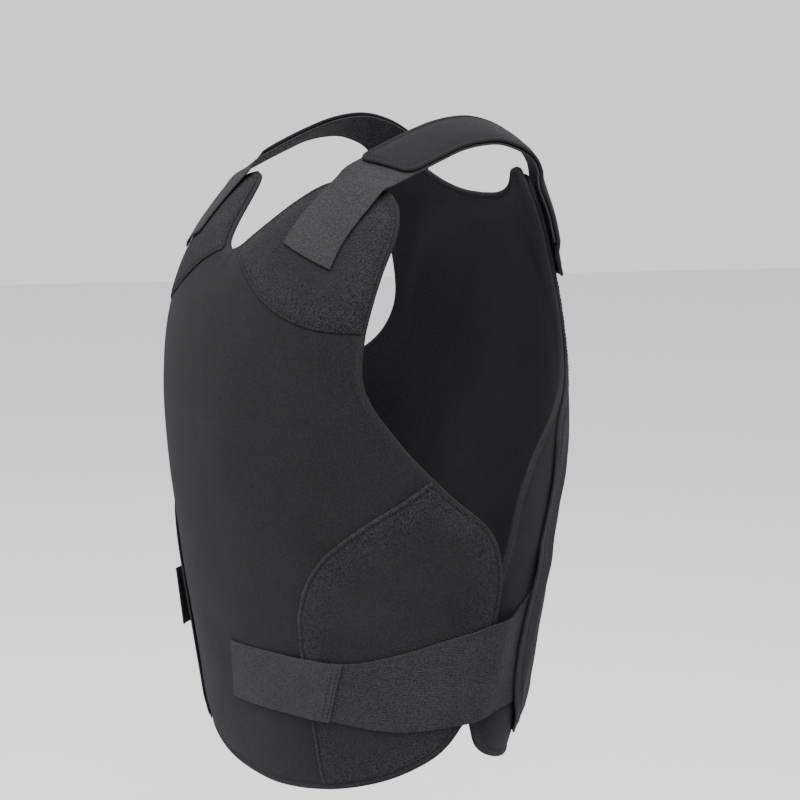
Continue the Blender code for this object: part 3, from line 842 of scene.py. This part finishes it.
back_net, back_outline, back_rim, back_run = half_panel(
    fair_curve(BACK_HEM), fair_curve(BACK_SIDE),
    joined(fair_curve(BACK_NECKLINE), fair_curve(BACK_EAR_TOP)),
    evenly((BACK_HEM[0], BACK_NECKLINE[0])), (205, 420), (9.0, 8.0), BACK_CORNERS, flip=-1)
back_panel = padded_panel("padded_back", back_net, back_rim, back_run, on_back, 0.0, seed=31)
swell(back_panel, back_outline, lambda across, height: COVERED_ROOM + 0 * across)
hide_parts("back_panel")


def back_outer(across, height):
    """Stand-off of the back panel's outer face."""
    return PANEL_MIDDLE + padding(*rim_at(across, height, back_outline))


back_seam = inset_line(back_outline, GROOVE_AT)
for label, side in SIDES:
    stitch_rows("back_stitches_" + label, [back_seam], on_back, back_outer, side)

# %% The back cover
COVER_HEM = ((0, -455), (80, -454), (150, -450))
COVER_SIDE = (
    (150, -450), (165, -427), (174, -402), (178, -374), (175, -320), (173, -262),
    (168, -208), (144, -186), (122, -156), (117, -115), (118, -72), (123, -38),
)
COVER_NECKLINE = ((0, -54), (28, -52), (50, -45), (71, -35))
COVER_EAR_TOP = ((71, -35), (98, -34), (123, -38))
COVER_CORNERS = (*BACK_CORNERS, (123, -38, -2.6, -2.0, 15), (150, -450, -2.2, 3.6, 24))
COVER_RISE = 2.8
COVER_GAP = 1.5
COVER_HALF = 0.95  # half thickness of its turned hem
FOLD_HEIGHT = 3.0
FOLD_SPACING = 30.0
FOLD_AT = 152.0  # where one of the folds stands


def cover_rise(across, height):
    """Rise of the cover over the sewn ends of the side straps."""
    return (COVER_RISE * smooth_step(106, 138, np.abs(across)) * smooth_step(-446, -428, height)
            * (1 - smooth_step(-318, -292, height)))


def cover_folds(across, height):
    """Upright folds: narrow ridges, a raised cosine squared, that lean with height and only
    stand where the cover turns round the side."""
    reach = np.abs(across)
    lean = reach + 0.10 * (height + 330) + 5.0 * np.sin(height / 46.0)
    ridge = (0.5 + 0.5 * np.cos((lean - FOLD_AT) / FOLD_SPACING * 2 * np.pi)) ** 2
    upright = smooth_step(-455, -410, height) * (1 - smooth_step(-250, -200, height))
    return FOLD_HEIGHT * ridge * smooth_step(96, 140, reach) * upright


cover_net, cover_outline, cover_rim, _ = half_panel(
    fair_curve(COVER_HEM), fair_curve(COVER_SIDE),
    joined(fair_curve(COVER_NECKLINE), fair_curve(COVER_EAR_TOP)),
    evenly((COVER_HEM[0], COVER_NECKLINE[0])), (170, 415), (5.0, 6.0), COVER_CORNERS,
    near=FINE_RIM_STEPS, flip=-1)


print("cover net:", cover_net.shape[:2])


# %% The cover in place
def cover_middle(across, height, side=1):
    """The cover lies on the back panel, over the strap ends, with its folds."""
    free = smooth_step(2, 26, rim_at(across, height, cover_outline)[0])
    return (back_outer(across, height) + COVER_GAP + cover_rise(across, height)
            + cover_folds(across, height) * (0.35 + 0.65 * free)
            + 0.35 * free * ripples(across * side, height, 51, 40, 110))


def cover_half(distance):
    """A turned hem: double cloth for 9 mm from the rim, single beyond it."""
    return rounded_edge(distance, 1.4, COVER_HALF) - 0.35 * smooth_step(8.5, 10.0, distance)


cover_faces = []
for _, side in SIDES:
    middle = cover_middle(cover_net[..., 0], cover_net[..., 1], side)
    cover_faces += two_faces(cover_net, on_back, middle, cover_half(cover_rim), side, cover_rim)
back_cover = build("cloth_back_cover", cover_faces, shell_cloth)
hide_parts("back_cover")
cover_seam = inset_line(cover_outline, 7.5)
for label, side in SIDES:
    stitch_rows("cover_stitches_" + label, [cover_seam], on_back,
                lambda a, h: cover_middle(a, h, side) + COVER_HALF, side)
cover_flat, cover_area = cut_size(cover_faces[0][0], halves=2)
print("back cover cut:", np.round(cover_flat, 3).tolist(), "m, area", round(cover_area, 4), "m2")

# %% [markdown]
# ## Loop patches
#
# Hook tape grips anywhere on a loop patch, so the front has large ones: a yoke on each
# shoulder and a patch on each side.  They are thin, sewn down round their edges, and
# the pile stands a little above the seam.  The side patch also has a corded welt
# along its front and top edges, which catches the light.

# %% Yokes and side patches
PATCH_INSET = 2.5
PATCH_GAP = 0.35
BORDER_HALF = 0.42  # half thickness of a patch at its sewn border
PATCH_SEAM_AT = 2.2
YOKE_SEAM = ((12, -95), (40, -110), (68, -126), (92, -136), (118, -142), (150, -144))
SIDE_PATCH_TOP = ((96, -374), (99, -350), (107, -329), (122, -307), (148, -284), (182, -259), (206, -242))


def side_edge(low, high):
    """The stretch of the front's side edge between two heights, moved in by the inset."""
    edge = fair_curve(FRONT_SIDE, inset=PATCH_INSET)
    return edge[(edge[:, 1] >= low) & (edge[:, 1] <= high)]


def patch_half(distance):
    """Half thickness: thin at the sewn border, then a step up to the pile at 3 to 5 mm."""
    return rounded_edge(distance, 0.8, BORDER_HALF) + 0.3 * smooth_step(3.0, 5.0, distance)


def loop_patch(name, node, net, side):
    """A sewn-down patch with a row of stitches 2 mm in from its edge."""
    outline = evenly(ring_of(net), 0.8)
    distance, _ = rim_distance(net, outline)
    thickness = patch_half(np.maximum(distance, 0.8))
    middle = front_outer(net[..., 0], net[..., 1]) + PATCH_GAP + thickness
    faces = two_faces(net, on_body, middle, patch_half(distance), side, distance)
    patch = build(name, faces, loop_cloth)
    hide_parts(node)
    stitches = stitch_rows(name + "_stitches", [inset_line(outline, PATCH_SEAM_AT)], on_body,
                           lambda a, h: front_outer(a, h) + PATCH_GAP + 2 * BORDER_HALF,
                           side)
    return patch, stitches, *cut_size(faces[0][0])


def fine_net(bottom, top, inner, outer, width, height):
    """A net between four edges, crowded near all of them and 4 mm wide in between."""
    columns, rows = crowded(width, 4.0, FINE_RIM_STEPS), crowded(height, 4.0, FINE_RIM_STEPS)
    return four_sided(bottom, top, inner, outer, columns, rows)


yoke_neck = fair_curve(FRONT_NECKLINE, inset=-PATCH_INSET)
yoke_neck[0] = YOKE_SEAM[0]
yoke_side = side_edge(-144, -51.5)
yoke_seam = fair_curve(YOKE_SEAM[:-1] + (tuple(yoke_side[0]),))
yoke_top = fair_curve((yoke_neck[-1], yoke_side[-1]))
yoke_net = soften(fine_net(yoke_seam, yoke_top, yoke_neck, yoke_side, 100, 95), FRONT_CORNERS)

patch_hem = fair_curve(FRONT_HEM, inset=PATCH_INSET)
patch_hem = patch_hem[patch_hem[:, 0] >= SIDE_PATCH_TOP[0][0]]
patch_side = side_edge(patch_hem[-1, 1], SIDE_PATCH_TOP[-1][1])
patch_hem[-1] = patch_side[0]
patch_front = np.array([patch_hem[0], SIDE_PATCH_TOP[0]])
patch_top = fair_curve(SIDE_PATCH_TOP[:-1] + (tuple(patch_side[-1]),))
patch_net = fine_net(patch_hem, patch_top, patch_front, patch_side, 130, 150)

# %% The welt
WELT_WIDTH = 3.0
WELT_OUTSIDE = 0.8  # the part of its width that lies outside the patch's edge
WELT_HALF = 0.95
WELT_RISE = 0.9
WELT_STEP = 1.5


def welt(name, side):
    """A cord in a cloth fold along the patch's front and top: a strip with a round back."""
    path = evenly(joined(patch_front, patch_top), WELT_STEP)[2:]
    shares = np.linspace(0, 1, 9)
    inside = shares[None, :, None] * WELT_WIDTH - WELT_OUTSIDE
    net = path[:, None] - inside * leftward(path)[:, None]
    distance = np.minimum(shares, 1 - shares)[None] * WELT_WIDTH + 0 * net[..., 0]
    steps = np.arange(len(path))
    end = np.minimum(steps, steps[::-1])[:, None] * WELT_STEP
    half = rounded_edge(distance, WELT_WIDTH / 2, WELT_HALF) * rounded_edge(end, 2 * WELT_STEP, 1.0)
    middle = front_outer(net[..., 0], net[..., 1]) + PATCH_GAP + WELT_RISE
    return build(name, two_faces(net, on_body, middle, half, side, 0.0), welt_cloth)


for label, side in SIDES:
    yoke, rows, flat, area = loop_patch("yoke_" + label, "shoulder_loop_" + label, yoke_net, side)
    print(label, "yoke:", np.round(flat, 3).tolist(), "m, area", round(area, 4), "m2")
    patch, rows, flat, area = loop_patch("side_patch_" + label, "side_loop_" + label, patch_net, side)
    cord = welt("side_patch_welt_" + label, side)
    print(label, "side patch:", np.round(flat, 3).tolist(), "m, area", round(area, 4), "m2")

# %% [markdown]
# ## Side straps
#
# Each side strap starts as a stiff hook tab that grips the loop patch.  It is sewn
# over the end of a wide elastic band, which runs off the front's wing, drops to the
# back's wing and disappears under the cover.  The strap's height above the body
# follows what lies below it.

# %% Side straps and tabs
STRAP_HALF = 0.8
STRAP_HEIGHT = 48.0
STRAP_GAP = 0.45  # further gap between a strap and what it lies on
PATCH_RISE = 1.45  # rise of a strap where it lies on a side patch
SETTLED = 8.0  # a strap bridges the panel's groove: it lies as it does this far from the rim
DROP_REACH = 26.0  # beyond the front's edge, where it comes down to the back's wing
ON_BACK_WING = 9.1  # stand-off of a strap that lies on the back's wing
TAB_END_LIFT = 1.75  # rise of a tab's sewn end over the elastic beneath it
LEFT_TAB = ((10, -387, 0, -435), (70, -383, 58, -431), (131, -380, 114, -427))
LEFT_BAND = (
    (121, -380.6, 104, -427.6), (131, -380, 114, -427), (170, -369, 160, -429), (203, -356, 196, -424),
    (238, -348, 226, -420), (260, -345, 242, -418), (282, -334, 256, -417), (302, -328, 270, -416),
)
RIGHT_TAB = ((138, -364, 134, -412), (193, -366, 188, -414), (246, -366, 234, -414))
RIGHT_BAND = (
    (236, -366.3, 224, -414), (246, -366, 234, -414), (264, -354, 246, -416), (282, -336, 256, -417),
    (302, -328, 270, -416),
)
RIGHT_END_FLARE = 10.0


def under_strap(across, height, flare=0.0):
    """Stand-off of a side strap's underside: over the patch and the wing's rim, then an
    S-curve down to the back wing within 26 mm beyond the wing's edge."""
    across = np.abs(np.asarray(across, float))
    distance, run = rim_at(across, height, front_outline)
    inside = across < np.interp(height, *fair_curve(FRONT_SIDE)[:, ::-1].T)
    bridged = np.where(inside, np.maximum(distance, SETTLED), SETTLED)
    panel = wing_lift(across) + PANEL_MIDDLE + padding(bridged, run)
    on_front = panel + PATCH_GAP + PATCH_RISE * smooth_step(70, 92, across) + STRAP_GAP
    drop = smooth_step(0, DROP_REACH, np.where(inside, 0, distance))
    free_end = 1 - smooth_step(138, 176, across)
    return on_front * (1 - drop) + ON_BACK_WING * drop + flare * free_end


def elastic_relief(net, from_start):
    """Waves of the loose elastic and the one slanting crease that crosses it, in millimetres."""
    waves = 0.28 * ripples(net[..., 0], net[..., 1] * 3, 71, 60, 140) * smooth_step(8, 30, from_start)
    slant = net[..., 1] + 402 - 0.18 * (net[..., 0] - 190)
    return waves + 0.5 * bell(slant, 0, 3.0) * smooth_step(120, 150, net[..., 0])


# %% The four side pieces
def side_strap(name, node, table, side, tab=False, flare=0.0):
    """A strip between an upper and a lower edge, each a fair curve through the table's rows."""
    slot, material = ("hook_tape", hook_cloth) if tab else ("elastic_band", elastic_cloth)
    lift_end = TAB_END_LIFT if tab else 0.0
    table = np.asarray(table, float)
    length = run_so_far(table[:, :2])[-1]
    columns, rows = crowded(length, 3.0, FINE_RIM_STEPS), crowded(STRAP_HEIGHT, 4.0, FINE_RIM_STEPS)
    from_start = columns * length
    upper, lower = fair_curve(table[:, 0:2], columns), fair_curve(table[:, 2:4], columns)
    net = lower[None] + (upper - lower)[None] * rows[:, None, None]
    distance, _ = rim_distance(net, evenly(ring_of(net), 0.8))
    lift = lift_end * smooth_step(length - 26, length - 12, from_start)[None]
    middle = under_strap(net[..., 0], net[..., 1], flare) + STRAP_HALF + lift
    if not tab:
        middle = middle + elastic_relief(net, from_start)
    half = rounded_edge(distance, 1.0, STRAP_HALF) - 0.12 * bell(distance, 3.2, 0.8)
    faces = two_faces(net, on_body, middle, half, side, distance)
    strap = build(name, faces, material)
    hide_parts(node)
    seams = []
    if tab:
        lines = []
        for from_end in (3.0, 9.0):
            column = np.searchsorted(from_start, length - from_end)
            edge_to_edge = np.array([lower[column], upper[column]])
            lines.append(along(edge_to_edge, np.linspace(0.06, 0.94, 20)))
        seams = [stitch_rows(name + "_stitches", lines, on_body,
                             lambda a, h: under_strap(a, h, flare) + 2 * STRAP_HALF + lift_end,
                             side, radius=0.36)]
    laid, area = cut_size(faces[0][0])


side_strap("hook_tab_left", "side_tab_left", LEFT_TAB, 1, tab=True)
side_strap("elastic_left", "side_strap_left", LEFT_BAND, 1)
side_strap("hook_tab_right", "side_tab_right", RIGHT_TAB, -1, tab=True, flare=RIGHT_END_FLARE)
side_strap("elastic_right", "side_strap_right", RIGHT_BAND, -1)

# %% [markdown]
# ## Shoulder straps and pads
#
# A shoulder strap grips the yoke, crosses the shoulder in the air, and lies on the
# back.  Its run is given by stations: rows of five places across it.  Reading the
# stations on a smooth curve gives the strap's surface as a function of the run along
# it and the share across it, and a pad above it is the same function further out.

# %% The strap's surface
ON_LOOP = 11.5
STRAP_WIDTH = 50.0
STRAP_LENGTH = 292.0
STRAP_COLUMNS = 4
FRONT_STATIONS = (
    # across, height, drop from the centre line to the arm's edge
    (93, -96, 7), (92, -80, 6), (92.5, -66, 5), (93.5, -55, 4), (94, -46, 3),
)
OVER_STATIONS = (
    # across, depth, height, slope down towards the arm in degrees, depth gained at the arm
    (96, -89, -34.0, 12, 6.5), (97, -76, -27.2, 17, 3.5), (98, -61, -20, 19, 2), (98, -42, -11.5, 20, 1),
    (98, -24, -4.5, 20, 0), (98, -8, -1, 20, 0), (98, 6, 0, 20, 0), (98, 20, -2.5, 20, -1.5),
    (98, 33, -7.5, 18, -4), (98, 44, -15, 13, -8), (98, 51.5, -25, 8, -11.5),
)
BACK_STATIONS = (
    # across, height, stand-off: the strap settles onto the cover
    (98, -42, 13.1), (98, -62, 12.7), (98, -90, 12.1), (98, -125, 11.7), (98, -160, 11.6),
)


def strap_stations():
    """Underside of the strap: a row of places across it at each station."""
    share = np.linspace(-1, 1, STRAP_COLUMNS + 1)
    half = STRAP_WIDTH / 2
    rows = []
    for across, height, drop in FRONT_STATIONS:
        rows.append(on_body(across + half * share, height - drop * share, ON_LOOP))
    for across, depth, height, slope, swing in OVER_STATIONS:
        slope = np.radians(slope)
        reach = np.array([np.cos(slope) * half, swing, -np.sin(slope) * half])
        rows.append(np.array([across, depth, height], float) + share[:, None] * reach)
    for across, height, stand_off in BACK_STATIONS:
        rows.append(on_back(across + half * share, height + 0 * share, stand_off))
    return np.asarray(rows)


stations = strap_stations()
station_keys = run_so_far(stations[:, STRAP_COLUMNS // 2])
print("strap stations:", len(stations), "over", round(float(station_keys[-1])), "mm")


# %% Places on the strap's surface
def strap_surface(share, run):
    """The strap's underside: smooth along the run, and smooth across between the columns."""
    share, run = np.broadcast_arrays(np.asarray(share, float), np.asarray(run, float))
    rows = smooth_rows(run.ravel(), station_keys, stations.reshape(len(station_keys), -1))
    rows = rows.reshape(-1, STRAP_COLUMNS + 1, 3)
    position = np.clip((share.ravel() + 1) / 2, 0, 1) * STRAP_COLUMNS
    column = np.minimum(position.astype(int), STRAP_COLUMNS - 1)
    part = (position - column)[:, None]
    each = np.arange(run.size)
    return (rows[each, column] * (1 - part) + rows[each, column + 1] * part).reshape(*run.shape, 3)


def on_shoulder(side):
    """Places above the strap's underside: across from its centre line and run along it, in mm."""
    def place(across, run, stand_off):
        share = np.asarray(across, float) * side / (STRAP_WIDTH / 2)
        inside = np.clip(share, -0.94, 0.94)
        ahead = strap_surface(inside, run + 0.5) - strap_surface(inside, run - 0.5)
        reach = strap_surface(inside + 0.05, run) - strap_surface(inside - 0.05, run)
        outward = unit(np.cross(reach, ahead))
        beyond = (share - np.clip(share, -1, 1))[..., None] * reach / 0.1
        found = strap_surface(share, run) + beyond + outward * np.asarray(stand_off, float)[..., None]
        return found * np.array([side, 1, 1])
    return place


# %% Shoulder straps
strap_columns = (crowded(STRAP_WIDTH, 4.0, FINE_RIM_STEPS) - 0.5) * STRAP_WIDTH
strap_rows = crowded(STRAP_LENGTH, 4.0, FINE_RIM_STEPS) * STRAP_LENGTH
strap_net = np.stack(np.meshgrid(strap_columns, strap_rows), -1)
strap_rim, _ = rim_distance(strap_net, evenly(ring_of(strap_net), 0.8))
strap_half = rounded_edge(strap_rim, 1.0, STRAP_HALF) - 0.1 * bell(strap_rim, 3.4, 0.8)

for label, side in SIDES:
    wave = 0.25 * ripples(strap_net[..., 0], strap_net[..., 1], 80 + side, 50, 120)
    middle = STRAP_HALF + wave * smooth_step(60, 110, strap_net[..., 1])
    faces = two_faces(strap_net, on_shoulder(side), middle, strap_half, side, strap_rim)
    strap = build("shoulder_hook_strap_" + label, faces, hook_cloth)
    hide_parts("shoulder_strap_" + label)

# %% [markdown]
# The pad is a thin quilted strip over the strap, bound with tape all round.  The
# binding shows as a rounded border with a row of stitches, and the pad swells between.

# %% Shoulder pads
PAD_WIDTH = 49.0
PAD_START = 91.0
PAD_END = 318.0
PAD_SKEW = 12.0
PAD_CORNER = 9.0
PAD_UNDER = 2.2
PAD_DROP = 2.5
PAD_MIDDLE = 1.35
PAD_HALF = 1.25
PAD_SWELL = 0.55
BINDING = 4.6  # width of the bound border


def under_pad(run):
    """The pad lies on the strap, and beyond the strap's end it settles onto the cover."""
    return PAD_UNDER - PAD_DROP * smooth_step(STRAP_LENGTH + 0.5, STRAP_LENGTH + 9, run)


def pad_net():
    """Rounded front corners: each row's width shrinks by the arc of a 9 mm circle, and the
    front end is skewed, most at its start."""
    straight = PAD_END - PAD_START - PAD_CORNER
    after_corner = PAD_CORNER + crowded(straight, 4.0, FINE_RIM_STEPS, start=False) * straight
    run = np.concatenate([np.linspace(0, PAD_CORNER, 9)[:-1], after_corner])
    share = (crowded(PAD_WIDTH, 4.0, FINE_RIM_STEPS) - 0.5) * 2
    pull = np.clip(PAD_CORNER - run, 0, None)
    trim = PAD_CORNER - np.sqrt(PAD_CORNER ** 2 - pull ** 2)
    across = share[None] * (PAD_WIDTH / 2 - trim)[:, None]
    skew = PAD_SKEW * across / (STRAP_WIDTH / 2) / 2 * (1 - run / run.max())[:, None]
    return np.stack([across, PAD_START + run[:, None] + skew], -1)


pad = pad_net()
pad_outline = evenly(ring_of(pad), 0.8)
pad_rim, _ = rim_distance(pad, pad_outline)
pad_rise = smooth_step(BINDING, 14, pad_rim)
pad_half = (rounded_edge(pad_rim, 1.6, PAD_HALF) - 0.5 * bell(pad_rim, BINDING, 0.9)
            + PAD_SWELL * pad_rise)
pad_middle = under_pad(pad[..., 1]) + PAD_MIDDLE + 0.25 * pad_rise
pad_seam = inset_line(pad_outline, BINDING - 0.7)

for label, side in SIDES:
    name = "bound_shoulder_pad_" + label
    uneven = 0.2 * ripples(pad[..., 0], pad[..., 1], 90 + side, 25, 70) * smooth_step(6, 14, pad_rim)
    faces = two_faces(pad, on_shoulder(side), pad_middle, pad_half + uneven, side, pad_rim)
    piece = build(name, faces, pad_shell)
    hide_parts("shoulder_pad_" + label)
    stitch_rows(name + "_stitches", [pad_seam], on_shoulder(side),
                lambda across, run: under_pad(run) + 2.3, side, pitch=2.8, length=2.2)

# %% [markdown]
# ## Floor, light and camera
#
# A plain pale studio: a floor well below the hem, soft light from all round, a high
# lamp in front, one on the wearer's left front, and a weaker one above and behind.
# The camera stands where the photograph's camera stood.

# %% The studio
FLOOR_HEIGHT = -0.86
FLOOR_REACH = 8.0
FLOOR_CORNERS = [(-1, -1), (1, -1), (1, 1), (-1, 1)]


def stand(name, data, place, back, roll=0.0):
    """Link a lamp or camera at a place.  It looks away from back, level but for its roll."""
    back = unit(np.asarray(back, float))
    right = unit(np.cross((0, 0, 1), back))
    up = np.cross(back, right)
    turned = np.eye(4)
    turned[:3, 0] = right * np.cos(roll) + up * np.sin(roll)
    turned[:3, 1] = up * np.cos(roll) - right * np.sin(roll)
    turned[:3, 2] = back
    turned[:3, 3] = place
    stood = bpy.data.objects.new(name, data)
    bpy.context.scene.collection.objects.link(stood)
    stood.matrix_world = Matrix(turned.tolist())
    return stood


def lamp(name, place, target, size, power):
    """A square soft lamp that faces its target."""
    light = bpy.data.lights.new(name, "AREA")
    light.shape, light.size, light.energy = "SQUARE", size, power
    stand(name, light, place, np.subtract(place, target))


lamp("front_lamp", (0.4, -1.6, 2.1), (0, -0.1, -0.1), 1.2, 75)
lamp("side_lamp", (1.85, -0.8, 1.75), (0.05, 0, -0.1), 1.2, 84)
lamp("top_lamp", (0.2, 0.6, 2.2), (0, 0, -0.2), 1.6, 34)

world = bpy.data.worlds.new("pale_studio")
bpy.context.scene.world = world
world.use_nodes = True
sky = world.node_tree.nodes["Background"]
sky.inputs["Color"].default_value = (0.93, 0.94, 0.96, 1)
sky.inputs["Strength"].default_value = 1.25

floor_mesh = bpy.data.meshes.new("floor")
floor_corners = [(x * FLOOR_REACH, y * FLOOR_REACH, FLOOR_HEIGHT) for x, y in FLOOR_CORNERS]
floor_mesh.from_pydata(floor_corners, [], [(0, 1, 2, 3)])
floor = bpy.data.objects.new("floor", floor_mesh)
bpy.context.scene.collection.objects.link(floor)
floor_paint = bpy.data.materials.new("pale_floor")
floor_paint.use_nodes = True
floor_shader = floor_paint.node_tree.nodes["Principled BSDF"]
floor_shader.inputs["Base Color"].default_value = (0.80, 0.80, 0.81, 1)
floor_shader.inputs["Roughness"].default_value = 0.9
floor_mesh.materials.append(floor_paint)

# %% The camera
AZIMUTH, ELEVATION, ROLL = np.radians([59.0, 8.0, 1.5])
TARGET = np.array([0.030, -0.018, -0.208])
DISTANCE = 1.6
FOCAL_LENGTH = 92.7
SENSOR_WIDTH = 36.0

level = np.cos(ELEVATION)
back = np.array([np.sin(AZIMUTH) * level, -np.cos(AZIMUTH) * level, np.sin(ELEVATION)])
lens = bpy.data.cameras.new("camera")
lens.lens, lens.sensor_width = FOCAL_LENGTH, SENSOR_WIDTH
camera = stand("camera", lens, TARGET + back * DISTANCE, back, ROLL)
bpy.context.scene.camera = camera
print("camera at", np.round(camera.matrix_world.translation, 3).tolist(), "metres")

# %% The count of pieces, and the end
print("pieces:", len(made))
